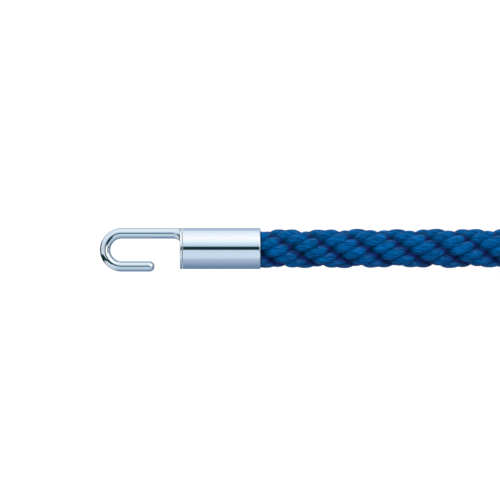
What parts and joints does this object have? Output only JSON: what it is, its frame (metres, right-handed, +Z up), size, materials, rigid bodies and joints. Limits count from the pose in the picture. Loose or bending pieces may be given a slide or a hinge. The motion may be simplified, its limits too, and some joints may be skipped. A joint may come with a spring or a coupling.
{
  "type": "barrier rope",
  "caption": "Blue solid-braided barrier rope with a chromed sleeve and a swivelling J-hook on each end, folded back on itself and strapped for storage.",
  "frame": {"origin": "on the axis of fitting A, at the flat bearing face inside its hook's bend", "axes": "+X along fitting A from its hook to the rope, +Y from the hook's short leg to its long leg, +Z up from the surface that the rope lies on, which is at z = -0.014"},
  "size_m": [0.6966, 0.1821, 0.028],
  "materials": {
    "chrome": "bright chrome plate, mirror polish",
    "plain_steel": "turned, bare",
    "brass": "stamped",
    "rope": "solid braid of blue filament yarn, soft sheen",
    "binding_tape": "cloth-backed adhesive tape",
    "tie_strap": "woven hook-and-loop strap"
  },
  "bodies": {
    "rope_assembly": {"rope": "rope", "storage_tie": "tie_strap", "sleeve_a": "chrome", "swivel_plug_a": "plain_steel", "cap_washer_a": "brass", "thrust_washer_a": "brass", "rope_end_a": "rope", "rope_binding_a": "binding_tape", "rope_screw_a_1": "plain_steel", "rope_screw_a_2": "plain_steel", "sleeve_b": "chrome", "swivel_plug_b": "plain_steel", "cap_washer_b": "brass", "thrust_washer_b": "brass", "rope_end_b": "rope", "rope_binding_b": "binding_tape", "rope_screw_b_1": "plain_steel", "rope_screw_b_2": "plain_steel"},
    "hook_end_a": {"hook_a": "chrome", "end_cap_a": "chrome", "swivel_rivet_a": "plain_steel"},
    "hook_end_b": {"hook_b": "chrome", "end_cap_b": "chrome", "swivel_rivet_b": "plain_steel"}
  },
  "joints": [
    {"name": "hook_swivel_a", "type": "hinge", "parent": "rope_assembly", "child": "hook_end_a", "pos_m": [0, 0, 0], "axis": [1, 0, 0], "continuous": true},
    {"name": "hook_swivel_b", "type": "hinge", "parent": "rope_assembly", "child": "hook_end_b", "pos_m": [0.564, 0.032, 0], "axis": [-1, 0, 0], "continuous": true}
  ]
}
